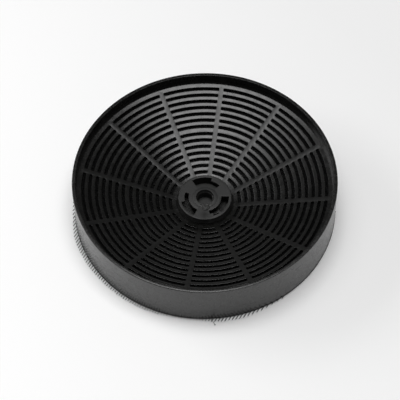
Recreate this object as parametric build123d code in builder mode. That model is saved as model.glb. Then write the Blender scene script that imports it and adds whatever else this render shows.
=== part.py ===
from build123d import *
from math import radians, tan
import os

# Cooker hood carbon filter: a round bayonet cartridge with a dished, slotted face.
# Millimetres. Z is up, the origin is the centre of the base face that it stands on.

# Housing: outer wall and rim
housing_diameter = 175.0
overall_height = 34.0
wall_thickness = 2.2
rim_chamfer = 0.3

# Dish: a flat land at the wall, one that slopes to the hub, and the grille between them
dish_depth = 9.0
dish_wall_draft = 2.0
wall_land = 2.13
hub_land = 2.4
hub_land_drop = 0.7
grille_thickness = 1.6
fill_height_at_hub = 0.95
flats_per_sector = 3

# Slots of the grille, in two groups of rows parted by one wider ring
spoke_count = 12
spoke_width = 3.1
spoke_phase = 21.04
slot_width = 2.2
slot_edge = 0.7
inner_slot_edge = 1.9
outer_rows = 7
inner_rows = 7
wide_ring_extra = 0.64

# Hub: a hollow boss with a bore down its middle, standing on a foot ring
hub_diameter = 36.2
hub_height = 9.1
hub_plate = 2.0
hub_wall = 1.9
hub_chamfer = 0.5
hub_foot_width = 2.0
bore_diameter = 10.5
bore_chamfer = 0.6
tube_wall = 1.7
collar_width = 3.05
collar_height = 0.2

# Bayonet slots through the hub: a wide entry out to the hub's wall, then a narrow part
# where a lug locks
bayonet_count = 3
bayonet_start = 122.0
bayonet_entry_sweep = 50.0
bayonet_lock_sweep = 29.0
bayonet_entry_width = 5.1
bayonet_lock_width = 2.7

# Catch: a low rib that the lug rides over, beside the lock part of one slot
catch_slot = 1
catch_gap = 0.2
catch_width = 1.8
catch_sweep = 10.0
catch_height = 0.6

# Base grille: flat cover with rings and spokes, welded on through the net
base_thickness = 1.2
base_edge_inset = 0.4
base_outer_land = 5.2
base_centre_land = 1.9
base_spoke_width = 3.0
base_ring_width = 2.6
base_rows = 4

# Nets and fill
net_thickness = 0.3
net_overhang = 1.5
fill_clearance = 0.15

housing_radius = housing_diameter / 2
chamber_radius = housing_radius - wall_thickness
land_radius = chamber_radius - dish_depth * tan(radians(dish_wall_draft))
land_height = overall_height - dish_depth
weld_height = base_thickness + net_thickness

hub_radius = hub_diameter / 2
skirt_radius = hub_radius - hub_wall
foot_radius = hub_radius + hub_foot_width
bore_radius = bore_diameter / 2
tube_radius = bore_radius + tube_wall
collar_radius = bore_radius + collar_width
hub_top = hub_height + collar_height
bayonet_inner = skirt_radius - bayonet_entry_width
lock_outer = bayonet_inner + bayonet_lock_width
bayonet_starts = [bayonet_start - turn * 360 / bayonet_count for turn in range(bayonet_count)]
catch_inner = lock_outer + catch_gap
lock_middle = bayonet_starts[catch_slot] - bayonet_entry_sweep - bayonet_lock_sweep / 2
catch_start = lock_middle + catch_sweep / 2

# The grille is laid out in flats that meet on radial lines, some on the spokes' middles
flat_count = spoke_count * flats_per_sector
grille_outer = land_radius - wall_land
grille_inner = hub_radius + hub_land
grille_foot = weld_height + fill_height_at_hub + grille_thickness
first_row = grille_outer - slot_edge - slot_width / 2
last_row = grille_inner + inner_slot_edge + slot_width / 2
row_count = outer_rows + inner_rows
slot_pitch = (first_row - last_row - wide_ring_extra) / (row_count - 1)
slot_middles = [first_row - row * slot_pitch for row in range(outer_rows)]
slot_middles += [last_row + row * slot_pitch for row in reversed(range(inner_rows))]

# The base grille's rows share out the room between its own two lands
base_radius = housing_radius - base_edge_inset
base_outer = base_radius - base_outer_land
base_inner = foot_radius + base_centre_land
base_pitch = (base_outer - base_inner + base_ring_width) / base_rows
base_opening = base_pitch - base_ring_width
base_middles = [base_outer - base_opening / 2 - row * base_pitch for row in range(base_rows)]


def turned(height):
    """Level plane whose X axis lies along the first spoke."""
    return Plane.XY.offset(height).rotated((0, 0, spoke_phase))


def flat_sided(radius, mode=Mode.ADD):
    """Polygon with its corners where the grille's flats meet."""
    RegularPolygon(radius, flat_count, mode=mode)


def arc_slot(inner, outer, start, sweep):
    """A slot round the axis, clockwise from its start angle, with radial ends."""
    with BuildLine() as outline:
        near = CenterArc((0, 0), inner, start, -sweep)
        far = CenterArc((0, 0), outer, start, -sweep)
        Line(near @ 0, far @ 0)
        Line(near @ 1, far @ 1)
    make_face(outline.edges())


def spoked_rings(middles, width, spoke):
    """Rings of slots, from the outside inwards, parted by the spokes."""
    with BuildSketch() as rings:
        for middle in middles:
            flat_sided(middle + width / 2)
            flat_sided(middle - width / 2, mode=Mode.SUBTRACT)
        with PolarLocations(0, spoke_count):
            Rectangle(housing_radius, spoke, align=(Align.MIN, Align.CENTER), mode=Mode.SUBTRACT)
    return rings.sketch


def corner_ring(radius, height):
    """Corners of a flat-sided ring at a height, one where each pair of flats meets."""
    return [
        Vector(radius, 0, height).rotate(Axis.Z, spoke_phase + corner * 360 / flat_count)
        for corner in range(flat_count)
    ]


def dish_hollow(depth):
    """The hollow over the grille's slope, moved down by a depth: a cup of plane flats."""
    low = corner_ring(grille_inner, grille_foot - depth)
    high = corner_ring(grille_outer, land_height - depth)
    outlines = [(low[i - 1], low[i], high[i], high[i - 1]) for i in range(flat_count)]
    outlines += [low, high]
    return Solid(Shell([Face(Wire.make_polygon(outline)) for outline in outlines]))


def chamber_ring(depth, inner, outer, outline):
    """Ring in the chamber, from the lower net up to a depth under the grille's face."""
    with BuildPart() as ring:
        with BuildSketch(turned(weld_height)):
            outline(outer)
            outline(inner, mode=Mode.SUBTRACT)
        extrude(amount=land_height - depth - weld_height)
        add(dish_hollow(depth), mode=Mode.SUBTRACT)
    return ring.part


# Housing drum: wall and rim turned round a solid floor, then hollowed from both sides
with BuildPart() as housing:
    with BuildSketch(Plane.XZ):
        with BuildLine():
            Polyline(
                (0, weld_height),
                (housing_radius, weld_height),
                (housing_radius, overall_height - rim_chamfer),
                (housing_radius - rim_chamfer, overall_height),
                (chamber_radius + rim_chamfer, overall_height),
                (chamber_radius, overall_height - rim_chamfer),
                (land_radius, land_height),
                (0, land_height),
                close=True,
            )
        make_face()
    revolve(axis=Axis.Z)
    add(dish_hollow(0), mode=Mode.SUBTRACT)
    add(chamber_ring(grille_thickness, foot_radius, chamber_radius, Circle), mode=Mode.SUBTRACT)
    with BuildSketch(turned(land_height)):
        add(spoked_rings(slot_middles, slot_width, spoke_width))
    extrude(amount=-land_height, mode=Mode.SUBTRACT)

    # Hub: boss, collar, bore tube and foot ring as one turned section
    with BuildSketch(Plane.XY.offset(weld_height)):
        Circle(foot_radius)
    extrude(amount=grille_foot - weld_height, mode=Mode.SUBTRACT)
    with BuildSketch(Plane.XZ):
        with BuildLine():
            Polyline(
                (bore_radius, weld_height),
                (tube_radius, weld_height),
                (tube_radius, hub_height - hub_plate),
                (skirt_radius, hub_height - hub_plate),
                (skirt_radius, weld_height),
                (foot_radius, weld_height),
                (foot_radius, grille_foot),
                (hub_radius, grille_foot - hub_land_drop),
                (hub_radius, hub_height - hub_chamfer),
                (hub_radius - hub_chamfer, hub_height),
                (collar_radius, hub_height),
                (collar_radius, hub_top),
                (bore_radius + bore_chamfer, hub_top),
                (bore_radius, hub_top - bore_chamfer),
                close=True,
            )
        make_face()
    revolve(axis=Axis.Z)

    # Bayonet slots, and the catch beside one of them
    with BuildSketch(Plane.XY.offset(hub_height)):
        for start in bayonet_starts:
            arc_slot(bayonet_inner, skirt_radius, start, bayonet_entry_sweep)
            arc_slot(bayonet_inner, lock_outer, start, bayonet_entry_sweep + bayonet_lock_sweep)
    extrude(amount=-hub_plate, mode=Mode.SUBTRACT)
    with BuildSketch(Plane.XY.offset(hub_height)):
        arc_slot(catch_inner, catch_inner + catch_width, catch_start, catch_sweep)
    extrude(amount=catch_height)

housing.part.label = "housing"

# Base grille: a flat cover whose wide openings are backed by the net
with BuildPart() as base_grille:
    with BuildSketch(turned(0)):
        Circle(base_radius)
        add(spoked_rings(base_middles, base_opening, base_spoke_width), mode=Mode.SUBTRACT)
    extrude(amount=base_thickness)

base_grille.part.label = "base_grille"

# Lower net: clamped between the base grille and the housing, its trimmed edge left outside
with BuildPart() as lower_net:
    with BuildSketch(Plane.XY.offset(base_thickness)):
        Circle(housing_radius + net_overhang)
    extrude(amount=net_thickness)

lower_net.part.label = "lower_net"

# Upper net: a sheet that follows the underside of the grille
fill_inner = foot_radius + fill_clearance
fill_outer = chamber_radius - fill_clearance
net_top_depth = grille_thickness + fill_clearance
net_low_depth = net_top_depth + net_thickness
with BuildPart() as upper_net:
    add(chamber_ring(net_top_depth, fill_inner, fill_outer, flat_sided))
    add(chamber_ring(net_low_depth, fill_inner, fill_outer, flat_sided), mode=Mode.SUBTRACT)

upper_net.part.label = "upper_net"

# Carbon bed: the granules fill the wedge between the two nets
with BuildPart() as carbon_bed:
    add(chamber_ring(net_low_depth + fill_clearance, fill_inner, fill_outer, flat_sided))

carbon_bed.part.label = "carbon_bed"

os.makedirs("parts", exist_ok=True)
for piece in (housing, base_grille, lower_net, upper_net, carbon_bed):
    export_step(piece.part, f"parts/{piece.part.label}.step")
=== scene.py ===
# Round carbon filter for a cooker hood: finishes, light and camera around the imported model.
# Sizes are in millimetres here, and a mesh is scaled to metres as it is made.
import math

import bmesh
import bpy
from mathutils import Matrix, Vector


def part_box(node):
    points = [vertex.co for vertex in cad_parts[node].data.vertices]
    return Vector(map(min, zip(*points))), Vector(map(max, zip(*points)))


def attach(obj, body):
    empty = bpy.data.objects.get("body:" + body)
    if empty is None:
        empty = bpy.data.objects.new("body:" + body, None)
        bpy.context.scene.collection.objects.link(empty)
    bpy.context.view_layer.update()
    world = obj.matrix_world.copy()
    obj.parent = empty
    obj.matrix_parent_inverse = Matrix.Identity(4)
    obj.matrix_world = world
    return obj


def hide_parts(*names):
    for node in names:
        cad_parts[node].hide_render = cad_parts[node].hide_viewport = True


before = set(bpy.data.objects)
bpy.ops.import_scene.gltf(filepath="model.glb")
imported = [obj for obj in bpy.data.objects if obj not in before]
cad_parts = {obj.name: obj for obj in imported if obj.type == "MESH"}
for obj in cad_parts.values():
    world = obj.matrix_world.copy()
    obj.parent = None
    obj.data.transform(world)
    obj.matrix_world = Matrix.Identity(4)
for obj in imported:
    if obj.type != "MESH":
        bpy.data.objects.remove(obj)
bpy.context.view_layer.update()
mm = 0.001
drumLow, drumHigh = (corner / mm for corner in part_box("housing"))
baseLow, baseHigh = (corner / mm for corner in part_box("base_grille"))
netLow, netHigh = (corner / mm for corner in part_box("lower_net"))
drumRadius = round(drumHigh.x, 1)
drumTop = round(drumHigh.z, 1)
drumFoot = round(drumLow.z, 1)
print("frame loaded:", len(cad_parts), "parts, drum radius", drumRadius)


# Small helpers for node trees
def addNode(tree, kind, inputs=None, **settings):
    made = tree.nodes.new(kind)
    for key, value in settings.items():
        setattr(made, key, value)
    for slot, value in (inputs or {}).items():
        if isinstance(value, bpy.types.NodeSocket):
            tree.links.new(value, made.inputs[slot])
        else:
            made.inputs[slot].default_value = value
    return made


def calc(tree, operation, *values):
    return addNode(tree, "ShaderNodeMath", dict(enumerate(values)), operation=operation).outputs[0]


def calcVector(tree, operation, *values):
    made = addNode(tree, "ShaderNodeVectorMath", dict(enumerate(values)), operation=operation)
    return made.outputs["Value" if operation == "LENGTH" else "Vector"]


def shape(tree, kind, inputs=None, **settings):
    # A geometry node, named without its long prefix, and what it gives
    return addNode(tree, "GeometryNode" + kind, inputs, **settings).outputs[0]


def join(tree, parts):
    made = addNode(tree, "GeometryNodeJoinGeometry")
    for part in parts:
        tree.links.new(part, made.inputs[0])
    return made.outputs[0]


def separate(tree, vector):
    return addNode(tree, "ShaderNodeSeparateXYZ", {0: vector}).outputs


def combine(tree, parts):
    return addNode(tree, "ShaderNodeCombineXYZ", parts).outputs[0]


def spread(tree, value, fromLow, fromHigh, toLow, toHigh):
    # Carries a value over from one range to another, and stops at its ends
    made = addNode(tree, "ShaderNodeMapRange", {0: value, 1: fromLow, 2: fromHigh, 3: toLow, 4: toHigh})
    return made.outputs[0]


def startTree(name, inputs):
    # A tree with geometry in and out, and a named input for each size
    tree = bpy.data.node_groups.new(name, "GeometryNodeTree")
    tree.interface.new_socket("Geometry", in_out="INPUT", socket_type="NodeSocketGeometry")
    tree.interface.new_socket("Geometry", in_out="OUTPUT", socket_type="NodeSocketGeometry")
    for label, kind in inputs.items():
        tree.interface.new_socket(label, in_out="INPUT", socket_type="NodeSocket" + kind)
    return tree, tree.nodes.new("NodeGroupInput").outputs


def endTree(tree, geometry, material):
    real = shape(tree, "RealizeInstances", {0: geometry})
    painted = shape(tree, "SetMaterial", {"Geometry": real, "Material": material})
    tree.links.new(painted, tree.nodes.new("NodeGroupOutput").inputs[0])


def evaluated(piece):
    depsgraph = bpy.context.evaluated_depsgraph_get()
    return bpy.data.meshes.new_from_object(piece.evaluated_get(depsgraph), depsgraph=depsgraph)


def runTree(piece, tree, values):
    # Sets the inputs by identifier, keeps the evaluated mesh and drops the modifier
    modifier = piece.modifiers.new(tree.name, "NODES")
    modifier.node_group = tree
    for item in tree.interface.items_tree:
        if item.item_type == "SOCKET" and item.in_out == "INPUT" and item.name in values:
            modifier[item.identifier] = values[item.name]
    mesh = evaluated(piece)
    piece.modifiers.remove(modifier)
    piece.data = mesh
    mesh.name = piece.name
    return piece


# Small helpers for meshes
def newPiece(name, bm=None):
    # An object at the origin, with the mesh in metres
    mesh = bpy.data.meshes.new(name)
    if bm:
        bm.transform(Matrix.Scale(mm, 4))
        bm.to_mesh(mesh)
        bm.free()
    piece = bpy.data.objects.new(name, mesh)
    bpy.context.scene.collection.objects.link(piece)
    return piece


def openMesh(piece):
    bm = bmesh.new()
    bm.from_mesh(piece.data)
    return bm


def closeMesh(piece, bm):
    bm.to_mesh(piece.data)
    bm.free()


def evenAngles(count):
    return [2 * math.pi * k / count for k in range(count)]


def turnedGrid(section, angles):
    # The points of a section, given as radius and height, at each angle about Z
    return [[Vector((r * math.cos(a), r * math.sin(a), z)) for a in angles] for r, z in section]


def bridge(bm, low, high):
    # A band of faces between two rings with as many vertices
    for k in range(len(low)):
        following = (k + 1) % len(low)
        bm.faces.new((low[k], low[following], high[following], high[k]))


def smooth(piece, keptEdge=42.0):
    # Edges that turn by more than this many degrees stay sharp
    piece.data.shade_smooth()
    piece.data.set_sharp_from_angle(angle=math.radians(keptEdge))


def paint(piece, finish):
    # One finish all over the piece
    piece.data.materials.clear()
    piece.data.materials.append(finish)
    piece.data.polygons.foreach_set("material_index", [0] * len(piece.data.polygons))


def triangles(piece):
    piece.data.calc_loop_triangles()
    return len(piece.data.loop_triangles)


# Camera, at the place that the photograph was taken from
camera = {
    "elevation": 55.45,  # degrees above the floor
    "distance": 803.0,  # from the middle of the rim's top
    "roll": -0.84,
    "rimPixel": (204.62, 176.15),  # where the middle of the rim's top shows
    "imageSize": 400,
    "focalPixels": 1219.2,
    "sensor": 36.0,
    "clip": (0.05, 50),  # metres
}


def makeCamera(c):
    rise, roll = math.radians(c["elevation"]), math.radians(c["roll"])
    target = Vector((0, 0, drumTop))
    back = Vector((0, -math.cos(rise), math.sin(rise)))
    flatRight, flatUp = Vector((1, 0, 0)), Vector((0, math.sin(rise), math.cos(rise)))
    right = flatRight * math.cos(roll) + flatUp * math.sin(roll)
    up = flatUp * math.cos(roll) - flatRight * math.sin(roll)
    # The view's axis passes beside the rim's middle, so the lens needs no shift
    aside = c["rimPixel"][0] - c["imageSize"] / 2
    above = c["imageSize"] / 2 - c["rimPixel"][1]
    forward = (-back * c["focalPixels"] - right * aside - up * above).normalized()
    right = forward.cross(up).normalized()
    up = right.cross(forward)
    data = bpy.data.cameras.new("camera")
    data.sensor_width = c["sensor"]
    data.lens = c["focalPixels"] / c["imageSize"] * c["sensor"]
    data.clip_start, data.clip_end = c["clip"]
    made = bpy.data.objects.new("camera", data)
    bpy.context.scene.collection.objects.link(made)
    turned = Matrix((right, up, -forward)).transposed().to_4x4()
    made.matrix_world = Matrix.Translation((target + back * c["distance"]) * mm) @ turned
    bpy.context.scene.camera = made


makeCamera(camera)
bpy.context.scene.view_settings.view_transform = "Standard"
print("camera set")

# Finishes
plastic = {
    "color": (0.0038, 0.0038, 0.0035),
    "patchColor": (0.0056, 0.0056, 0.0051), "patchSize": 9.0, "patchFrom": 0.42, "patchTo": 0.66,
    "dustColor": (0.12, 0.12, 0.11), "dustSize": 2.6, "dustFrom": 0.66, "dustTo": 0.72, "dustShare": 0.14,
    "roughness": 0.26, "spokeRoughness": 0.33, "unevenSize": 4.0, "unevenness": 0.05,
    "grainSize": 0.35, "grainDepth": 0.006, "spokeGrain": 1.26,
    "waveSize": 22.0, "waveDepth": 0.05,
    "gloss": 0.5,
}
spokePlastic = {**plastic, "gloss": 0.41}
coverPlastic = {**plastic, "roughness": 0.5, "spokeRoughness": 0.53}
netThread = {
    "color": (0.012, 0.012, 0.011), "roughness": 0.5, "gloss": 0.35,
    "twistSize": 0.12, "twistDepth": 0.04, "darkest": 0.6, "palest": 1.5,
}
# Painted shade: the inner net is the same thread as the lower net, painted ten times darker for the shade
# inside the slots
shadedInnerThread = {**netThread, "color": (0.0012, 0.0012, 0.0012), "roughness": 0.75, "gloss": 0.12}
# Partly the carbon's own black and partly painted shade: the colours are set darker than carbon, for the
# shade deep in the slots
granule = {
    "color": (0.0012, 0.0012, 0.0012), "paleColor": (0.004, 0.004, 0.004),
    "toneSize": 2.2, "toneFrom": 0.4, "toneTo": 0.65,
    "pitSize": 0.35, "pitDepth": 0.12, "pitFrom": 0.35, "pitTo": 0.7,
    "roughness": 0.7, "glint": 0.3, "gloss": 0.12,
}

noiseLow, noiseHigh = 0.3, 0.7  # most of a noise lies between these


def startMaterial(name):
    material = bpy.data.materials.new(name)
    material.use_nodes = True
    tree = material.node_tree
    shader = next(n for n in tree.nodes if n.type == "BSDF_PRINCIPLED")
    place = addNode(tree, "ShaderNodeTexCoord").outputs["Object"]
    return material, tree, shader, place


def noiseAt(tree, place, size, detail=2.0, roughness=0.5):
    settings = {"Vector": place, "Scale": 1 / (size * mm), "Detail": detail, "Roughness": roughness}
    return addNode(tree, "ShaderNodeTexNoise", settings).outputs["Fac"]


def mixColor(tree, share, first, second):
    made = addNode(tree, "ShaderNodeMix", {0: share}, data_type="RGBA")
    for slot, value in ((6, first), (7, second)):
        if isinstance(value, bpy.types.NodeSocket):
            tree.links.new(value, made.inputs[slot])
        else:
            made.inputs[slot].default_value = (*value, 1)
    return made.outputs[2]


def bump(tree, height, depth, onto=None):
    inputs = {"Height": height, "Distance": depth * mm, "Strength": 1.0}
    if onto:
        inputs["Normal"] = onto
    return addNode(tree, "ShaderNodeBump", inputs).outputs[0]


def blackPlastic(name, p):
    # Satin moulded plastic: a fine grain, slow waves, paler patches and a little dust
    material, tree, shader, place = startMaterial(name)
    patchNoise = noiseAt(tree, place, p["patchSize"], detail=3.0)
    patches = spread(tree, patchNoise, p["patchFrom"], p["patchTo"], 0, 1)
    dustNoise = noiseAt(tree, place, p["dustSize"], detail=5.0, roughness=0.7)
    dust = spread(tree, dustNoise, p["dustFrom"], p["dustTo"], 0, p["dustShare"])
    color = mixColor(tree, patches, p["color"], p["patchColor"])
    tree.links.new(mixColor(tree, dust, color, p["dustColor"]), shader.inputs["Base Color"])
    # The attribute is 0 on the rings and wall, 1 on the spokes and about 4 on the hub
    spoke = addNode(tree, "ShaderNodeAttribute", attribute_name="spoke").outputs["Fac"]
    base = calc(tree, "MULTIPLY_ADD", spoke, p["spokeRoughness"] - p["roughness"], p["roughness"])
    unevenNoise = noiseAt(tree, place, p["unevenSize"], detail=4.0)
    uneven = spread(tree, unevenNoise, noiseLow, noiseHigh, -p["unevenness"], p["unevenness"])
    tree.links.new(calc(tree, "ADD", base, uneven), shader.inputs["Roughness"])
    waves = bump(tree, noiseAt(tree, place, p["waveSize"], detail=1.0), p["waveDepth"])
    coarser = calc(tree, "MULTIPLY_ADD", spoke, p["spokeGrain"] - 1, 1.0)
    grainHeight = calc(tree, "MULTIPLY", noiseAt(tree, place, p["grainSize"]), coarser)
    tree.links.new(bump(tree, grainHeight, p["grainDepth"], waves), shader.inputs["Normal"])
    shader.inputs["Specular IOR Level"].default_value = p["gloss"]
    return material


def threadFinish(name, p):
    # Twisted plastic thread, seen as a fine unevenness
    material, tree, shader, place = startMaterial(name)
    twist = noiseAt(tree, place, p["twistSize"])
    shade = spread(tree, twist, noiseLow, noiseHigh, p["darkest"], p["palest"])
    tone = addNode(tree, "ShaderNodeVectorMath", {0: p["color"], 3: shade}, operation="SCALE")
    tree.links.new(tone.outputs[0], shader.inputs["Base Color"])
    tree.links.new(bump(tree, twist, p["twistDepth"]), shader.inputs["Normal"])
    shader.inputs["Roughness"].default_value = p["roughness"]
    shader.inputs["Specular IOR Level"].default_value = p["gloss"]
    return material


def carbonFinish(name, p):
    # Dull broken faces, some paler, with small pits and a few glints
    material, tree, shader, place = startMaterial(name)
    tone = spread(tree, noiseAt(tree, place, p["toneSize"], detail=3.0), p["toneFrom"], p["toneTo"], 0, 1)
    tree.links.new(mixColor(tree, tone, p["color"], p["paleColor"]), shader.inputs["Base Color"])
    pits = noiseAt(tree, place, p["pitSize"], detail=4.0, roughness=0.65)
    worn = spread(tree, pits, p["pitFrom"], p["pitTo"], p["roughness"], p["glint"])
    tree.links.new(worn, shader.inputs["Roughness"])
    tree.links.new(bump(tree, pits, p["pitDepth"]), shader.inputs["Normal"])
    shader.inputs["Specular IOR Level"].default_value = p["gloss"]
    return material


housingFinish = blackPlastic("satin black plastic", plastic)
spokeFinish = blackPlastic("dull black plastic", spokePlastic)
baseFinish = blackPlastic("matt black plastic", coverPlastic)
netFinish = threadFinish("black net thread", netThread)
shadedInnerNetFinish = threadFinish("inner net thread, painted dark for shade", shadedInnerThread)
shadedCarbonFinish = carbonFinish("activated carbon, darkened for shade", granule)
print("finishes made")

# A plate of slots between spokes, made as one sector that starts and ends on a spoke's middle.
# In the sector's grid, v says how far a row lies inside a slot from the slot's long edge, and o
# how far a column lies inside it from its end at a spoke. Below 0 both are on the plastic.
besideShares = (1.0, 0.6, 0.25)  # lines over a slot's rounded edge, as shares of its crown
insideShares = (0.0, 0.45, 1.0)  # lines round a slot's corner, as shares of the corner's size


def crownDrop(distance, crown):
    # How far a rounded edge falls below the face, at a distance from the slot
    within = min(crown, max(0.0, crown - distance))
    return crown - math.sqrt(crown ** 2 - within ** 2)


def roundCorner(v, o, corner, reach):
    # Turns the grid's square corner into round shells about the corner's centre
    across, along = corner - v, corner - o
    shell, rest = max(across, along), min(across, along)
    if rest <= 0 or shell > reach:
        return v, o
    turn = math.pi / 4 * rest / shell
    far, near = corner - shell * math.cos(turn), corner - shell * math.sin(turn)
    return (far, near) if across >= along else (near, far)


def slotRows(plate, face, crown):
    # Rows from the inside outwards: each slot's two edges, with lines inside and beside them
    beside = [-share * crown for share in besideShares] if crown else []
    lines = beside + [share * plate["corner"] for share in insideShares]
    rows = []
    for index, (inner, outer) in enumerate(plate["slots"]):
        shared = {"slot": index, "face": face}
        for k, v in enumerate(lines):
            rows.append({**shared, "edge": inner, "way": 1, "v": v, "key": k - len(beside)})
        for k, v in enumerate(reversed(lines)):
            rows.append({**shared, "edge": outer, "way": -1, "v": v, "key": len(insideShares) + k})
    return rows


def slotColumns(plate):
    near = [-plate["spokeWidth"] / 2] + [-share * plate["crown"] for share in besideShares]
    near += [share * plate["corner"] for share in insideShares]
    count = plate["middleColumns"]
    columns = [{"side": 0, "o": o} for o in near]
    columns += [{"share": (k + 1) / (count + 1), "o": math.inf} for k in range(count)]
    return columns + [{"side": 1, "o": o} for o in reversed(near)]


def sectorPoint(plate, row, column):
    # A grid point, in millimetres, with the first spoke's middle along X
    c, crown, sector = plate["corner"], plate["crown"], 2 * math.pi / plate["spokes"]
    o, half = column["o"], plate["spokeWidth"] / 2
    if "edge" not in row:
        radius, drop = row["radius"], 0.0
    else:
        reach = c + crown if row["face"] == "top" else c
        v, o = roundCorner(row["v"], o, c, reach + 1e-6)
        radius = row["edge"] + row["way"] * v
        drop = crownDrop(max(-row["v"], -column["o"]), crown) if row["face"] == "top" else 0.0
    nearAngle = math.asin((half + c) / radius)
    if "share" in column:
        angle = nearAngle + (sector - 2 * nearAngle) * column["share"]
    else:
        angle = math.asin((half + o) / radius)
        angle = sector - angle if column["side"] else angle
    height = row["height"] if "height" in row else plate[row["face"]](radius) - drop
    return Vector((radius * math.cos(angle), radius * math.sin(angle), height))


def isOpen(row, nextRow, column, nextColumn):
    # True for a grid cell that lies inside a slot
    if "edge" not in row or "edge" not in nextRow:
        return False
    sameSlot = row["slot"] == nextRow["slot"] and row["face"] == nextRow["face"]
    return sameSlot and min(row["v"], nextRow["v"]) >= 0 and min(column["o"], nextColumn["o"]) >= 0


def skinGrid(bm, grid, openCell, partner, closed=False):
    # Faces of a grid of points, with a wall round each open cell down to the partner rows
    verts = [[bm.verts.new(point) for point in line] for line in grid]
    count = len(grid[0])
    for i in range(len(grid) - 1):
        for j in range(count if closed else count - 1):
            k = (j + 1) % count
            if not openCell(i, j):
                bm.faces.new((verts[i][j], verts[i][k], verts[i + 1][k], verts[i + 1][j]))
                continue
            if i not in partner or i + 1 not in partner:
                continue
            around = (((i - 1, j), (i, j), (i, k)), ((i + 1, j), (i + 1, j), (i + 1, k)),
                      ((i, j - 1), (i, j), (i + 1, j)), ((i, k), (i, k), (i + 1, k)))
            for cell, a, b in around:
                if not openCell(*cell):
                    low = [verts[partner[r]][s] for r, s in (a, b)]
                    bm.faces.new((verts[a[0]][a[1]], verts[b[0]][b[1]], low[1], low[0]))
    bmesh.ops.delete(bm, geom=[v for v in bm.verts if not v.link_faces], context="VERTS")
    return verts


def makeSector(name, plate):
    # Top rows outwards, then the rim, then the underside's rows inwards
    rows = [{"radius": r, "face": "top"} for r in plate["innerTop"]]
    rows += slotRows(plate, "top", plate["crown"])
    rows += [{"radius": r, "height": h, "face": "rim"} for r, h in plate["rim"]]
    rows += reversed(slotRows(plate, "bottom", 0))
    rows += [{"radius": r, "face": "bottom"} for r in plate["innerBottom"]]
    columns = slotColumns(plate)
    lowAt = {(row["slot"], row["key"]): i for i, row in enumerate(rows)
             if row["face"] == "bottom" and "slot" in row}
    partner = {i: lowAt[row["slot"], row["key"]] for i, row in enumerate(rows)
               if row["face"] == "top" and (row.get("slot"), row.get("key")) in lowAt}

    def openCell(i, j):
        if not (0 <= i < len(rows) - 1 and 0 <= j < len(columns) - 1):
            return False
        return isOpen(rows[i], rows[i + 1], columns[j], columns[j + 1])

    bm = bmesh.new()
    spoke = bm.verts.layers.float.new("spoke")
    grid = [[sectorPoint(plate, row, column) for column in columns] for row in rows]
    verts = skinGrid(bm, grid, openCell, partner)
    for i, row in enumerate(rows):
        for j, column in enumerate(columns):
            if verts[i][j].is_valid and row["face"] == "top" and column["o"] < 0:
                verts[i][j][spoke] = 1.0
    return newPiece(name, bm)


def makeRepeatTree():
    # Copies of one sector round Z, joined along their seams
    tree, given = startTree("sectors round a hub", {
        "Count": "Int", "Start angle": "Float", "Seam distance": "Float", "Material": "Material"})
    points = shape(tree, "Points", {0: given["Count"]})
    step = calc(tree, "DIVIDE", 2 * math.pi, given["Count"])
    turn = calc(tree, "MULTIPLY_ADD", shape(tree, "InputIndex"), step, given["Start angle"])
    copies = shape(tree, "InstanceOnPoints", {
        "Points": points, "Instance": given["Geometry"], "Rotation": combine(tree, {"Z": turn})})
    real = shape(tree, "RealizeInstances", {0: copies})
    joined = shape(tree, "MergeByDistance", {"Geometry": real, "Distance": given["Seam distance"]})
    endTree(tree, joined, given["Material"])
    return tree


repeatTree = makeRepeatTree()


def repeatSector(sector, plate, finish):
    return runTree(sector, repeatTree, {
        "Count": plate["spokes"], "Start angle": math.radians(plate["spokePhase"]),
        "Seam distance": plate["seam"] * mm, "Material": finish})


def arcRows(centre, size, start, end, steps):
    return [(centre[0] + size * math.cos(math.radians(start + (end - start) * k / steps)),
             centre[1] + size * math.sin(math.radians(start + (end - start) * k / steps)))
            for k in range(steps + 1)]


# Housing: the dished grille, land, wall and rim as one sector
grille = {
    "spokes": 12, "spokeWidth": 3.1, "spokePhase": 21.04, "seam": 0.02,
    "slotWidth": 2.2, "rows": 14, "wideAfter": 7, "wideRingExtra": 0.64,
    "firstSlot": 81.056, "lastSlot": 23.5,  # middles of the outermost and innermost slots
    "outerRadius": 82.856, "innerRadius": 20.5, "footHeight": 4.05, "landHeight": 25.0,
    "thickness": 1.6, "crown": 0.15, "corner": 0.72, "middleColumns": 14,
    "footRadius": 20.1, "hubRadius": 18.1, "hubDrop": 0.7, "seamRadius": 18.9,
}
wall = {
    "thickness": 2.2, "landRadius": 84.986, "rimRound": 0.45, "innerRound": 0.2,
    "footRound": 0.25, "footFlare": 0.8, "roundSteps": 4, "footSteps": 2,
    "filletAcross": 0.4, "filletUp": 0.25,  # where the land meets the wall
    "draft": 0.04, "loopUp": 1.0, "loopDown": 0.7,  # the wall's inner face, between its two edges
    "rimLoop": 0.8, "footLoop": 0.6,  # lines that keep the outer face straight
}


def dishSlope(g):
    return (g["landHeight"] - g["footHeight"]) / (g["outerRadius"] - g["innerRadius"])


def dishHeight(g, radius):
    # Height of the dish's face, from the hub's land to the wall's
    return min(g["landHeight"], g["footHeight"] + max(0, radius - g["innerRadius"]) * dishSlope(g))


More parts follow.
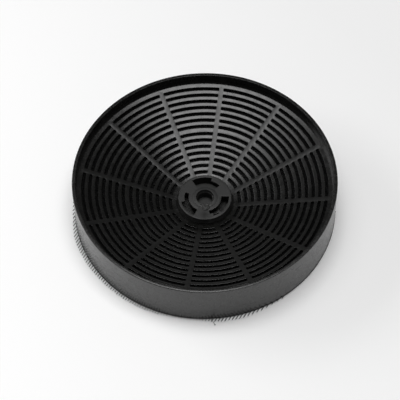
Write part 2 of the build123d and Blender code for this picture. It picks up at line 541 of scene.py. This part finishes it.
def makeHousing(g, w):
    def faceHeight(radius):
        if radius < g["footRadius"]:  # the land falls towards the hub
            fall = (g["footRadius"] - radius) / (g["footRadius"] - g["hubRadius"])
            return g["footHeight"] - g["hubDrop"] * fall
        return dishHeight(g, radius)

    pitch = (g["firstSlot"] - g["lastSlot"] - g["wideRingExtra"]) / (g["rows"] - 1)
    middles = [g["lastSlot"] + k * pitch + (g["wideRingExtra"] if k >= g["rows"] - g["wideAfter"] else 0)
               for k in range(g["rows"])]
    land, landHeight, chamber = w["landRadius"], g["landHeight"], drumRadius - w["thickness"]
    steps, turn, inner, foot = w["roundSteps"], w["rimRound"], w["innerRound"], w["footRound"]
    footRadius = drumRadius + w["footFlare"]
    plate = {
        **g,
        "slots": [(m - g["slotWidth"] / 2, m + g["slotWidth"] / 2) for m in middles],
        "top": faceHeight,
        "bottom": lambda radius: faceHeight(radius) - g["thickness"],
        "innerTop": [g["seamRadius"], g["footRadius"], g["innerRadius"]],
        "innerBottom": [g["innerRadius"]],
        "rim": [(land - w["filletAcross"], landHeight), (land, landHeight + w["filletUp"]),
                (land + w["draft"], landHeight + w["loopUp"]),
                (chamber - w["draft"], drumTop - inner - w["loopDown"])]
        + arcRows((chamber + inner, drumTop - inner), inner, 180, 90, steps)
        + arcRows((drumRadius - turn, drumTop - turn), turn, 90, 0, steps)
        + [(drumRadius, drumTop - turn - w["rimLoop"]), (footRadius, drumFoot + foot + w["footLoop"])]
        + arcRows((footRadius - foot, drumFoot + foot), foot, 0, -90, w["footSteps"])
        + [(chamber, drumFoot), (chamber, drumFoot + w["loopUp"]), (chamber, landHeight - g["thickness"])],
    }
    return repeatSector(makeSector("drum_moulding", plate), plate, housingFinish)


housing = makeHousing(grille, wall)
print("dished grille and wall:", triangles(housing), "triangles")

# Hub: turned profile with three stepped bayonet slots, a catch and the gate's mark
hub = {
    "radius": 18.1, "top": 9.1, "lipRound": 0.45, "lipSteps": 5, "sideLoop": 6.0, "plate": 2.0,
    "skirtRadius": 16.2, "footRadius": 20.1, "footTop": 2.45, "landTop": 3.35,
    "collarRadius": 8.3, "collarTop": 9.26, "collarEase": 0.1, "collarLean": 0.15,
    "boreRadius": 5.25, "tubeRadius": 6.95,
    "mouthRadius": 5.9, "mouthFoot": 5.7, "mouthDepth": 2.0, "mouthStep": 0.3,
    "slots": 3, "slotStart": 122.0, "entrySweep": 50.0, "lockSweep": 29.0,
    "slotInner": 11.1, "lockOuter": 13.8, "columnStep": 2.5,
    "catchInner": 14.1, "catchFrom": -54.0, "catchTo": -69.0,
    "catchHeight": 0.7, "catchRib": 0.55, "catchPocket": 0.8,  # the pocket's share of its height
    "edgeRound": 0.07, "edgeSteps": 2, "edgeTurn": 50.0,  # edges that turn by more degrees are rounded
    "gatePlace": (0.4, -8.2), "gateRadius": 2.7, "gateHeight": 0.24, "gateSides": 20,
    "gateRings": ((1.0, -0.1), (0.88, 1.0), (0.6, 0.3), (0.35, 0.8)),  # shares of radius and height
    "gateWobble": 0.07, "gateRipple": 0.05, "gateRoughness": 0.4,
    "nubAngles": (-64.0, -90.0, -116.0), "nubTip": 4.6, "nubFoot": 6.6, "nubHalf": 0.8, "nubDepth": 0.5,
    "scuffPlace": (-0.4, -14.2), "scuffRadius": 5.0,
    "faceGrain": 3.9, "gateGrain": 4.9, "catchGrain": 0.4, "scuffGrain": 8.0,
}


def hubAngles(h, starts):
    # Columns at every slot end and at the catch's ends, with even steps between them
    sweeps = (0, h["entrySweep"], h["entrySweep"] + h["lockSweep"])
    marks = {(start - sweep) % 360 for start in starts for sweep in sweeps}
    marks = sorted(marks | {h["catchFrom"] % 360, h["catchTo"] % 360})
    angles = []
    for mark, following in zip(marks, marks[1:] + [marks[0] + 360]):
        count = max(1, round((following - mark) / h["columnStep"]))
        angles += [mark + (following - mark) * k / count for k in range(count)]
    return angles


def raiseCatch(bm, h):
    # A low block beside one lock part, with a pocket in its top
    sweep, block = h["catchFrom"] - h["catchTo"], []
    for face in bm.faces:
        middle = face.calc_center_median()
        turned = (h["catchFrom"] - math.degrees(math.atan2(middle.y, middle.x))) % 360
        within = h["catchInner"] < middle.xy.length < h["skirtRadius"] and turned < sweep
        if abs(middle.z - h["top"]) < 0.01 and within:
            block.append(face)
    bmesh.ops.recalc_face_normals(bm, faces=bm.faces)
    raised = bmesh.ops.extrude_face_region(bm, geom=block)["geom"]
    raisedVerts = [v for v in raised if isinstance(v, bmesh.types.BMVert)]
    bmesh.ops.translate(bm, verts=raisedVerts, vec=(0, 0, h["catchHeight"]))
    bmesh.ops.delete(bm, geom=block, context="FACES")
    lid = [f for f in raised if isinstance(f, bmesh.types.BMFace)]
    bmesh.ops.inset_region(bm, faces=lid, thickness=h["catchRib"], depth=0)
    lidVerts = list({v for f in lid for v in f.verts})
    bmesh.ops.translate(bm, verts=lidVerts, vec=(0, 0, -h["catchHeight"] * h["catchPocket"]))


def makeHub(h):
    underside, mouthEnd, ease = h["top"] - h["plate"], h["collarTop"] - h["mouthDepth"], h["collarEase"]
    size = h["lipRound"]
    lip = arcRows((h["radius"] - size, h["top"] - size), size, 0, 90, h["lipSteps"])
    across = [h["skirtRadius"], h["catchInner"], h["lockOuter"], h["slotInner"]]
    profile = [(h["radius"], h["landTop"]), (h["radius"], h["sideLoop"])] + lip
    firstTop = len(profile)
    profile += [(r, h["top"]) for r in across]
    profile += [(h["collarRadius"] + ease, h["top"]), (h["collarRadius"], h["top"] + ease),
                (h["collarRadius"] - h["collarLean"], h["collarTop"]),
                (h["mouthRadius"] + ease, h["collarTop"]),
                (h["mouthRadius"], h["collarTop"] - ease), (h["mouthFoot"], mouthEnd),
                (h["boreRadius"], mouthEnd - h["mouthStep"]), (h["boreRadius"], drumFoot),
                (h["tubeRadius"], drumFoot), (h["tubeRadius"], underside)]
    firstLow = len(profile)
    profile += [(r, underside) for r in reversed(across)]
    profile += [(h["skirtRadius"], drumFoot), (h["footRadius"], drumFoot), (h["footRadius"], h["footTop"])]
    partner = {firstTop + k: firstLow + len(across) - 1 - k for k in range(len(across))}
    starts = [h["slotStart"] - k * 360 / h["slots"] for k in range(h["slots"])]
    angles = hubAngles(h, starts)

    def inSlot(radius, angle):
        for start in starts:
            turned = (start - angle) % 360
            outer = h["skirtRadius"] if turned < h["entrySweep"] else h["lockOuter"]
            if turned < h["entrySweep"] + h["lockSweep"] and h["slotInner"] < radius < outer:
                return True
        return False

    def openCell(i, j):
        i = i % len(profile)
        if not (firstTop <= i < firstTop + len(across) - 1 or firstLow <= i < firstLow + len(across) - 1):
            return False
        a, b = angles[j % len(angles)], angles[(j + 1) % len(angles)]
        return inSlot((profile[i][0] + profile[i + 1][0]) / 2, a + (b - a) % 360 / 2)

    bm = bmesh.new()
    skinGrid(bm, turnedGrid(profile, [math.radians(a) for a in angles]), openCell, partner, closed=True)
    raiseCatch(bm, h)
    piece = newPiece("hub", bm)
    rounding = piece.modifiers.new("edge rounding", "BEVEL")
    rounding.width, rounding.segments = h["edgeRound"] * mm, h["edgeSteps"]
    rounding.limit_method, rounding.angle_limit = "ANGLE", math.radians(h["edgeTurn"])
    rounded = evaluated(piece)
    bpy.data.objects.remove(piece)
    return rounded


def stitch(bm, first, second):
    # Closes the gap between two rings with different counts by walking round both
    def angle(vert):
        return math.atan2(vert.co.y, vert.co.x)

    a, b = sorted(first, key=angle), sorted(second, key=angle)
    i = j = 0
    while i < len(a) or j < len(b):
        nextA = angle(a[(i + 1) % len(a)]) + (2 * math.pi if i + 1 >= len(a) else 0)
        nextB = angle(b[(j + 1) % len(b)]) + (2 * math.pi if j + 1 >= len(b) else 0)
        if j >= len(b) or (i < len(a) and nextA <= nextB):
            bm.faces.new((a[i % len(a)], a[(i + 1) % len(a)], b[j % len(b)]))
            i += 1
        else:
            bm.faces.new((b[j % len(b)], a[i % len(a)], b[(j + 1) % len(b)]))
            j += 1


def addGate(bm, h):
    # The broken gate: a low uneven disc in front of the bore, and small nubs at the bore's edge
    top, place = h["collarTop"], Vector((*h["gatePlace"], 0))
    rings = []
    for share, height in h["gateRings"]:
        ring = []
        for a in evenAngles(h["gateSides"]):
            wobble = h["gateWobble"] * math.sin(3 * a + 0.7) + h["gateRipple"] * math.sin(7 * a)
            reach = h["gateRadius"] * share * (1 + wobble)
            rise = h["gateHeight"] * height * (1 + h["gateRoughness"] * math.sin(5 * a + 9 * share))
            point = place + Vector((reach * math.cos(a), reach * math.sin(a), top + rise))
            ring.append(bm.verts.new(point * mm))
        rings.append(ring)
    for low, high in zip(rings, rings[1:]):
        bridge(bm, low, high)
    bm.faces.new(rings[-1])
    bm.faces.new(rings[0][::-1])
    outline = ((h["nubTip"], 0), (h["nubFoot"], h["nubHalf"]), (h["nubFoot"], -h["nubHalf"]))
    for angle in h["nubAngles"]:
        turn = Matrix.Rotation(math.radians(angle), 3, "Z")
        low, high = [[bm.verts.new(turn @ Vector((x, y, top + z)) * mm) for x, y in outline]
                     for z in (-h["nubDepth"], h["gateHeight"])]
        bridge(bm, low, high)
        bm.faces.new(high)
        bm.faces.new(low[::-1])


def joinHub(piece, hubMesh, h, g):
    bm = openMesh(piece)
    outside = [v for v in bm.verts if v.is_boundary]
    plateEnd = len(bm.verts)
    bm.from_mesh(hubMesh)
    bm.verts.ensure_lookup_table()
    inside = [v for v in bm.verts[plateEnd:] if v.is_boundary]
    middle = (h["footTop"] + g["footHeight"]) / 2 * mm
    for above in (True, False):
        stitch(bm, *[[v for v in ring if (v.co.z > middle) == above] for ring in (outside, inside)])
    bm.verts.ensure_lookup_table()
    grain, hubEnd = bm.verts.layers.float["spoke"], len(bm.verts)
    addGate(bm, h)
    bm.verts.ensure_lookup_table()
    scuff = Vector(h["scuffPlace"]) * mm
    for vert in bm.verts[plateEnd:]:
        vert[grain] = h["gateGrain"] if vert.index >= hubEnd else h["faceGrain"]
        away = (vert.co.xy - scuff).length / (h["scuffRadius"] * mm)
        if away < 1 and vert.index < hubEnd:
            vert[grain] += (h["scuffGrain"] - h["faceGrain"]) * (1 - away)
        if vert.co.z > (h["top"] + 0.05) * mm and vert.co.xy.length > h["lockOuter"] * mm:
            vert[grain] = h["catchGrain"]
    bmesh.ops.recalc_face_normals(bm, faces=bm.faces)
    stray = [e for e in bm.edges if len(e.link_faces) != 2]
    print("housing closed, loose edges:", len(stray))
    closeMesh(piece, bm)


def paintSpokes(piece, finish, g):
    # The spokes' faces are the ones outside the hub's land with the attribute at every corner
    piece.data.materials.append(finish)
    grain, verts = piece.data.attributes["spoke"].data, piece.data.vertices
    foot = g["footRadius"] * mm
    for face in piece.data.polygons:
        if all(grain[k].value > 0.99 and verts[k].co.xy.length > foot for k in face.vertices):
            face.material_index = 1


joinHub(housing, makeHub(hub), hub, grille)
paint(housing, housingFinish)
paintSpokes(housing, spokeFinish, grille)
smooth(housing)
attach(housing, "root")
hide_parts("housing")
print("housing with hub:", triangles(housing), "triangles")

# Base grille: flat cover of wide openings, with rounded edges on its outer face
cover = {
    "spokes": 12, "spokeWidth": 3.0, "spokePhase": 21.04, "seam": 0.02,
    "middles": (28.51, 44.14, 59.76, 75.39), "openingWidth": 13.0,
    "crown": 0.4, "corner": 1.2, "middleColumns": 12, "edgeRound": 0.3, "edgeSteps": 3,
    "centreRings": [11.5, 16.0, 20.0],  # inside the first the sectors are too narrow: a flat face
    "edgeRing": 84.0,
}


def makeCover(c):
    # Made with its outer face up, then turned over
    radius, thickness, turn = baseHigh.x, baseHigh.z - baseLow.z, c["edgeRound"]
    half = c["openingWidth"] / 2
    plate = {
        **c,
        "slots": [(m - half, m + half) for m in c["middles"]],
        "top": lambda r: thickness,
        "bottom": lambda r: 0.0,
        "innerTop": c["centreRings"],
        "innerBottom": c["centreRings"][::-1],
        "rim": [(c["edgeRing"], thickness)]
        + arcRows((radius - turn, thickness - turn), turn, 90, 0, c["edgeSteps"])
        + [(radius, 0.0), (c["edgeRing"], 0.0)],
    }
    piece = repeatSector(makeSector("base_cover", plate), plate, baseFinish)
    bm = openMesh(piece)
    bmesh.ops.holes_fill(bm, edges=[e for e in bm.edges if e.is_boundary])
    for vert in bm.verts:
        vert.co.z = baseHigh.z * mm - vert.co.z
    bmesh.ops.recalc_face_normals(bm, faces=bm.faces)
    closeMesh(piece, bm)
    return piece


baseCover = makeCover(cover)
paint(baseCover, baseFinish)
smooth(baseCover)
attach(baseCover, "root")
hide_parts("base_grille")
print("base grille:", triangles(baseCover), "triangles")

# Nets: two families of threads, each over and under the other in turn
weave = {
    "pitch": 1.8, "width": 0.45, "thickness": 0.2, "lift": 0.05, "turn": 58.0,  # degrees from X
    "reach": 92.5, "outer": drumRadius - 0.05,
    "inner": 6.5,  # the hub's hole shows the cover's plain middle, with no net over it
    "lastStep": 0.98,  # a point this share of a pitch past its thread's end is brought back to it
    "fray": 0.6, "seed": 7.0,
    "fringeFrom": 0.25, "fringeTo": 0.42,  # only threads that run outwards stand out
    "beadInner": 86.9, "beadOuter": 88.55, "beadEase": 0.1, "beadMiddle": 0.15, "beadSides": 180,
}
upperWeave = {
    **weave, "pitch": 1.7, "width": 0.5, "turn": 12.0, "outer": 84.9, "inner": 20.3, "gap": 0.3,
}
# How far the trimmed edge stands out of the wall, by degrees from X
trimmedEdge = (
    (0, 1.1), (60, 1.8), (120, 2.2), (165, 2.4), (188, 2.8), (194, 3.5), (203, 4.1), (214, 3.4),
    (236, 3.2), (250, 2.6), (257, 1.7), (266, 1.8), (272, 3.1), (284, 3.5), (291, 2.8), (298, 1.8),
    (306, 1.3), (320, 1.1), (360, 1.1),
)


def square(tree, value):
    return calc(tree, "MULTIPLY", value, value)


def planRadius(tree, x, y):
    return calc(tree, "SQRT", calc(tree, "ADD", square(tree, x), square(tree, y)))


def wholeSteps(tree, value, pitch):
    return calc(tree, "ROUND", calc(tree, "DIVIDE", value, pitch))


def pointParts(tree):
    return separate(tree, shape(tree, "InputPosition"))


def fringeEdge(tree, given, at, w, overhang):
    # Where threads along X end: past the wall by the trimmed edge's reach, and a little unevenly
    along, beside = at[0], at[1]
    plan = calc(tree, "ADD", calc(tree, "ARCTAN2", beside, along), given["Turn"])
    share = calc(tree, "FRACT", calc(tree, "DIVIDE", plan, 2 * math.pi))
    curve = addNode(tree, "ShaderNodeFloatCurve", {"Value": share})
    points = curve.mapping.curves[0].points
    largest = max(value for angle, value in overhang)
    points[0].location = (0, overhang[0][1] / largest)
    points[1].location = (1, overhang[-1][1] / largest)
    for angle, value in overhang[1:-1]:
        points.new(angle / 360, value / largest)
    curve.mapping.update()
    outwards = calc(tree, "DIVIDE", calc(tree, "ABSOLUTE", along), planRadius(tree, along, beside))
    out = spread(tree, outwards, w["fringeFrom"], w["fringeTo"], 0.0, 1.0)
    dice = combine(tree, {0: wholeSteps(tree, beside, given["Pitch"]), 1: calc(tree, "SIGN", along),
                          2: given["Seed"]})
    chance = addNode(tree, "ShaderNodeTexWhiteNoise", {"Vector": dice}).outputs["Value"]
    loose = calc(tree, "MULTIPLY", calc(tree, "SUBTRACT", chance, 0.5), given["Fray"])
    reach = calc(tree, "MULTIPLY_ADD", curve.outputs[0], largest * mm, loose)
    return calc(tree, "MULTIPLY_ADD", out, reach, given["Outer radius"])


def threadLines(tree, given, grid, family, w, overhang):
    # One family of threads as curves: the first along X, the second along Y with the other lift
    ends = addNode(tree, "GeometryNodeInputMeshEdgeVertices").outputs
    step = separate(tree, calcVector(tree, "SUBTRACT", ends["Position 1"], ends["Position 2"]))
    steps = [calc(tree, "ABSOLUTE", step[k]) for k in (0, 1)]
    across = calc(tree, "LESS_THAN", steps[family], steps[1 - family])
    lines = shape(tree, "DeleteGeometry", {"Geometry": grid, "Selection": across},
                  domain="EDGE", mode="EDGE_FACE")
    at, pitch = pointParts(tree), given["Pitch"]
    along, beside = at[family], at[1 - family]
    size = calc(tree, "ABSOLUTE", along)
    # The second family has come out of the trimmed edge, so only the first stands out there
    fringed = overhang and family == 0
    edge = fringeEdge(tree, given, at, w, overhang) if fringed else given["Outer radius"]
    room = calc(tree, "SUBTRACT", square(tree, edge), square(tree, beside))
    limit = calc(tree, "SQRT", calc(tree, "MAXIMUM", 0.0, room))
    furthest = calc(tree, "ADD", limit, calc(tree, "MULTIPLY", pitch, w["lastStep"]))
    outside = calc(tree, "GREATER_THAN", size, furthest)
    inside = calc(tree, "LESS_THAN", planRadius(tree, along, beside), given["Inner radius"])
    unwanted = calc(tree, "MAXIMUM", outside, inside)
    kept = shape(tree, "DeleteGeometry", {"Geometry": lines, "Selection": unwanted}, domain="POINT")
    crossing = calc(tree, "ADD", wholeSteps(tree, along, pitch), wholeSteps(tree, beside, pitch))
    over = calc(tree, "MULTIPLY_ADD", calc(tree, "PINGPONG", crossing, 1.0), 2.0, -1.0)
    lift = calc(tree, "MULTIPLY", calc(tree, "MULTIPLY", over, given["Lift"]), 1.0 if family else -1.0)
    cut = calc(tree, "MULTIPLY", calc(tree, "MINIMUM", size, limit), calc(tree, "SIGN", along))
    place = combine(tree, {family: cut, 1 - family: beside, 2: lift})
    moved = shape(tree, "SetPosition", {"Geometry": kept, "Position": place})
    return shape(tree, "MeshToCurve", {"Mesh": moved})


def makeNetTree(name, w, placeNet, overhang=None):
    # A square grid taken apart into threads, cut at a round edge, turned and set in its place
    tree, given = startTree(name, {
        "Pitch": "Float", "Thread width": "Float", "Thread thickness": "Float", "Lift": "Float",
        "Turn": "Float", "Reach": "Float", "Outer radius": "Float", "Inner radius": "Float",
        "Fray": "Float", "Seed": "Float", "Height": "Float", "Material": "Material"})
    pitches = calc(tree, "DIVIDE", given["Reach"], given["Pitch"])
    half = addNode(tree, "FunctionNodeFloatToInt", {0: pitches}, rounding_mode="CEILING")
    count = calc(tree, "MULTIPLY_ADD", half.outputs[0], 2, 1)
    side = calc(tree, "MULTIPLY", calc(tree, "SUBTRACT", count, 1), given["Pitch"])
    grid = shape(tree, "MeshGrid", {
        "Size X": side, "Size Y": side, "Vertices X": count, "Vertices Y": count})
    threads = join(tree, [threadLines(tree, given, grid, family, w, overhang) for family in (0, 1)])
    turned = shape(tree, "Transform", {"Geometry": threads, "Rotation": combine(tree, {2: given["Turn"]})})
    placed = placeNet(tree, turned, given["Height"])
    level = shape(tree, "SetCurveNormal", {"Curve": placed}, mode="Z_UP")
    section = shape(tree, "CurvePrimitiveQuadrilateral", {
        "Width": given["Thread width"], "Height": given["Thread thickness"]})
    body = shape(tree, "CurveToMesh", {"Curve": level, "Profile Curve": section, "Fill Caps": True})
    endTree(tree, body, given["Material"])
    return tree


def layFlat(tree, geometry, height):
    return shape(tree, "Transform", {"Geometry": geometry, "Translation": combine(tree, {2: height})})


def layUnderGrille(tree, geometry, depth):
    # Lifts each point to the dish's slope, less the net's depth under the face
    at = pointParts(tree)
    outwards = calc(tree, "SUBTRACT", planRadius(tree, at[0], at[1]), grille["innerRadius"] * mm)
    rise = calc(tree, "MULTIPLY_ADD", outwards, dishSlope(grille), grille["footHeight"] * mm)
    face = calc(tree, "MINIMUM", rise, grille["landHeight"] * mm)
    height = calc(tree, "SUBTRACT", face, depth)
    return shape(tree, "SetPosition", {"Geometry": geometry, "Offset": combine(tree, {2: height})})


def makeNet(name, tree, height, finish, w):
    return runTree(newPiece(name), tree, {
        "Pitch": w["pitch"] * mm, "Thread width": w["width"] * mm, "Thread thickness": w["thickness"] * mm,
        "Lift": w["lift"] * mm, "Turn": math.radians(w["turn"]), "Reach": w["reach"] * mm,
        "Outer radius": w["outer"] * mm, "Inner radius": w["inner"] * mm, "Fray": w["fray"] * mm,
        "Seed": w["seed"], "Height": height * mm, "Material": finish})


def addBead(piece, w):
    # Round the wall's foot a thin dark bead, as thick as the net
    bm = openMesh(piece)
    inner, outer, ease = w["beadInner"], w["beadOuter"], w["beadEase"]
    section = [(inner, netLow.z), (outer - ease, netLow.z), (outer, netLow.z + w["beadMiddle"]),
               (outer - ease, netHigh.z), (inner, netHigh.z)]
    grid = turnedGrid(section, evenAngles(w["beadSides"]))
    rings = [[bm.verts.new(point * mm) for point in line] for line in grid]
    for first, second in zip(rings, rings[1:] + rings[:1]):
        bridge(bm, first, second)
    closeMesh(piece, bm)


looseThread = {
    "points": ((1.6, -86.8, 1.35), (2.7, -88.6, 1.4), (3.9, -90.4, 1.2), (5.2, -92.4, 0.6)),
    "width": 0.2, "knot": 0.45,
}


def addLooseThread(piece, t):
    # One crosswise thread that hangs out at the front, with a frayed end
    bm = openMesh(piece)
    points = [Vector(p) for p in t["points"]]
    way = (points[-1] - points[0]).normalized()
    side = way.cross(Vector((0, 0, 1))).normalized() * t["width"] / 2
    rise = side.cross(way).normalized() * t["width"] / 2
    corners = ((1, 1), (-1, 1), (-1, -1), (1, -1))
    rings = [[bm.verts.new((p + side * a + rise * b) * mm) for a, b in corners] for p in points]
    for first, second in zip(rings, rings[1:]):
        bridge(bm, first, second)
    bm.faces.new(rings[0][::-1])
    bm.faces.new(rings[-1])
    end = Matrix.Translation(points[-1] * mm)
    knot = bmesh.ops.create_icosphere(bm, subdivisions=1, radius=t["knot"] * mm, matrix=end)
    added = {face for vert in knot["verts"] + sum(rings, []) for face in vert.link_faces}
    bmesh.ops.recalc_face_normals(bm, faces=list(added))
    closeMesh(piece, bm)


lowerTree = makeNetTree("net with a trimmed edge", weave, layFlat, overhang=trimmedEdge)
upperTree = makeNetTree("net under the grille", upperWeave, layUnderGrille)
lowerNet = makeNet("lower_net_threads", lowerTree, (netLow.z + netHigh.z) / 2, netFinish, weave)
upperNet = makeNet("upper_net_threads", upperTree, grille["thickness"] + upperWeave["gap"],
                   shadedInnerNetFinish, upperWeave)
addBead(lowerNet, weave)
addLooseThread(lowerNet, looseThread)
for net, node, finish in ((lowerNet, "lower_net", netFinish), (upperNet, "upper_net", shadedInnerNetFinish)):
    paint(net, finish)
    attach(net, "root")
    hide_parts(node)
    print(node, triangles(net), "triangles")

# Carbon: a dark core with broken granules over its upper and lower faces
bed = {
    "inner": 22.4, "outer": 83.6, "shoulder": 82.0, "sides": 96,
    "coreDepth": 1.0, "netRoom": 0.6, "leastDepth": 0.2,  # below the grains, for the net, and at the hub
    "spacing": 2.0, "density": 900000.0,  # granules to the square metre, at most
    "grainRadius": 1.05, "grainSpread": 0.45, "seed": 11,
    "spin": 6.283, "spinSeed": 16,  # up to this many radians about each axis
}


def makeCarbonTree():
    tree, given = startTree("granules over a core", {
        "Spacing": "Float", "Density": "Float", "Grain radius": "Float", "Grain spread": "Float",
        "Spin": "Vector", "Seed": "Int", "Spin seed": "Int", "Material": "Material"})
    points = shape(tree, "DistributePointsOnFaces", {
        "Mesh": given["Geometry"], "Distance Min": given["Spacing"], "Density Max": given["Density"],
        "Seed": given["Seed"]}, distribute_method="POISSON")
    grain = shape(tree, "MeshIcoSphere", {"Radius": 1.0, "Subdivisions": 1})
    least = calc(tree, "SUBTRACT", given["Grain radius"], given["Grain spread"])
    most = calc(tree, "ADD", given["Grain radius"], given["Grain spread"])
    sides = addNode(tree, "FunctionNodeRandomValue", {0: least, 1: most, "Seed": given["Seed"]},
                    data_type="FLOAT_VECTOR")
    spin = addNode(tree, "FunctionNodeRandomValue", {
        0: (0, 0, 0), 1: given["Spin"], "Seed": given["Spin seed"]}, data_type="FLOAT_VECTOR")
    copies = shape(tree, "InstanceOnPoints", {
        "Points": points, "Instance": grain, "Rotation": spin.outputs[0], "Scale": sides.outputs[0]})
    real = shape(tree, "RealizeInstances", {0: copies})
    flat = shape(tree, "SetShadeSmooth", {"Geometry": real, "Shade Smooth": False})
    endTree(tree, join(tree, [flat, given["Geometry"]]), given["Material"])
    return tree


def makeCarbon(b):
    # The core is a ring whose section is a wedge under the dish's slope
    under = grille["thickness"] + b["netRoom"] + b["coreDepth"]
    floor = netHigh.z + b["coreDepth"]

    def roof(radius):
        return max(floor + b["leastDepth"], dishHeight(grille, radius) - under)

    section = [(b["inner"], floor), (b["outer"], floor)]
    section += [(radius, roof(radius)) for radius in (b["outer"], b["shoulder"], b["inner"])]
    bm = bmesh.new()
    grid = turnedGrid(section + section[:1], evenAngles(b["sides"]))
    skinGrid(bm, grid, lambda i, j: False, {}, closed=True)
    bmesh.ops.remove_doubles(bm, verts=bm.verts, dist=0.001)
    bmesh.ops.recalc_face_normals(bm, faces=bm.faces)
    return runTree(newPiece("carbon_granules", bm), makeCarbonTree(), {
        "Spacing": b["spacing"] * mm, "Density": b["density"], "Grain radius": b["grainRadius"] * mm,
        "Grain spread": b["grainSpread"] * mm, "Spin": [b["spin"]] * 3, "Seed": b["seed"],
        "Spin seed": b["spinSeed"], "Material": shadedCarbonFinish})


carbon = makeCarbon(bed)
paint(carbon, shadedCarbonFinish)
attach(carbon, "root")
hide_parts("carbon_bed")
print("carbon:", triangles(carbon), "triangles")

# Light: a large soft box overhead and two smaller ones at the left, in a dim room over a pale floor
light = {
    "boxSize": (1020.0, 720.0), "boxPlace": (45.0, 60.0, 1500.0), "boxPower": 15.0,
    "fillSize": (900.0, 500.0), "fillPlace": (-1200.0, 500.0, 680.0), "fillPower": 6.5,
    "wingSize": (380.0, 380.0), "wingPlace": (-630.0, 300.0, 1400.0), "wingPower": 1.5,
    "roomHigh": 0.08, "roomLow": 0.74, "paleUpTo": 0.6, "paleFall": 1.6, "background": 0.98,
    "floorSize": 9000.0, "floorPale": 0.93, "floorGlow": 0.08,
    "floorShadeX": 0.30, "floorShadeY": 0.30, "shadeLimit": 0.08,  # painted shade: paleness lost per metre to the right and back, where the light falls off
    "farFrom": 0.8, "farTo": 2.6, "farGlow": 0.8,  # metres away where it turns as pale as the room
}


def makeLight(s):
    for name in ("box", "fill", "wing"):
        data = bpy.data.lights.new(name, "AREA")
        data.shape, data.energy = "RECTANGLE", s[name + "Power"]
        data.size, data.size_y = (side * mm for side in s[name + "Size"])
        lamp = bpy.data.objects.new(name, data)
        bpy.context.scene.collection.objects.link(lamp)
        place = Vector(s[name + "Place"]) * mm
        lamp.matrix_world = Matrix.Translation(place) @ place.to_track_quat("Z", "Y").to_matrix().to_4x4()

    world = bpy.context.scene.world or bpy.data.worlds.new("room")
    bpy.context.scene.world = world
    world.use_nodes = True
    tree = world.node_tree
    tree.nodes.clear()
    seen = addNode(tree, "ShaderNodeLightPath").outputs["Is Camera Ray"]
    # The room is dark overhead and paler towards the horizon
    way = separate(tree, addNode(tree, "ShaderNodeTexCoord").outputs["Generated"])
    low = spread(tree, way["Z"], 0.0, s["paleUpTo"], 1.0, 0.0)
    dim = calc(tree, "MULTIPLY_ADD", calc(tree, "POWER", low, s["paleFall"]), s["roomLow"], s["roomHigh"])
    strength = calc(tree, "MAXIMUM", calc(tree, "MULTIPLY", seen, s["background"]), dim)
    room = addNode(tree, "ShaderNodeBackground", {"Color": (1, 1, 1, 1), "Strength": strength})
    tree.links.new(room.outputs[0], addNode(tree, "ShaderNodeOutputWorld").inputs[0])


def makeFloor(s):
    bm = bmesh.new()
    bmesh.ops.create_grid(bm, x_segments=1, y_segments=1, size=s["floorSize"] / 2)
    floor = newPiece("floor", bm)
    material = bpy.data.materials.new("pale floor")
    material.use_nodes = True
    tree = material.node_tree
    tree.nodes.clear()
    # The floor's paleness is added for the camera, and for what gloss and glass show
    path = addNode(tree, "ShaderNodeLightPath").outputs
    seen = calc(tree, "MAXIMUM", path["Is Camera Ray"],
                calc(tree, "MAXIMUM", path["Is Glossy Ray"], path["Is Transmission Ray"]))
    coords = addNode(tree, "ShaderNodeTexCoord").outputs["Object"]
    far = spread(tree, calcVector(tree, "LENGTH", coords), s["farFrom"], s["farTo"], 0.0, s["farGlow"])
    # Painted shade: the floor's colour is darker to the right and back, standing for the light's fall-off
    # there
    place, limit = separate(tree, coords), s["shadeLimit"]
    fall = calc(tree, "ADD", calc(tree, "MULTIPLY", place[0], s["floorShadeX"]),
                calc(tree, "MULTIPLY", place[1], s["floorShadeY"]))
    pale = calc(tree, "MULTIPLY", spread(tree, fall, -limit, limit, 1 + limit, 1 - limit), s["floorPale"])
    tone = addNode(tree, "ShaderNodeCombineColor", {0: pale, 1: pale, 2: pale})
    matt = addNode(tree, "ShaderNodeBsdfDiffuse", {"Color": tone.outputs[0]})
    paler = calc(tree, "ADD", far, s["floorGlow"])
    glow = addNode(tree, "ShaderNodeEmission", {"Strength": calc(tree, "MULTIPLY", seen, paler)})
    both = addNode(tree, "ShaderNodeAddShader", {0: matt.outputs[0], 1: glow.outputs[0]})
    tree.links.new(both.outputs[0], addNode(tree, "ShaderNodeOutputMaterial").inputs[0])
    floor.data.materials.append(material)


makeLight(light)
makeFloor(light)
print("light and floor set")
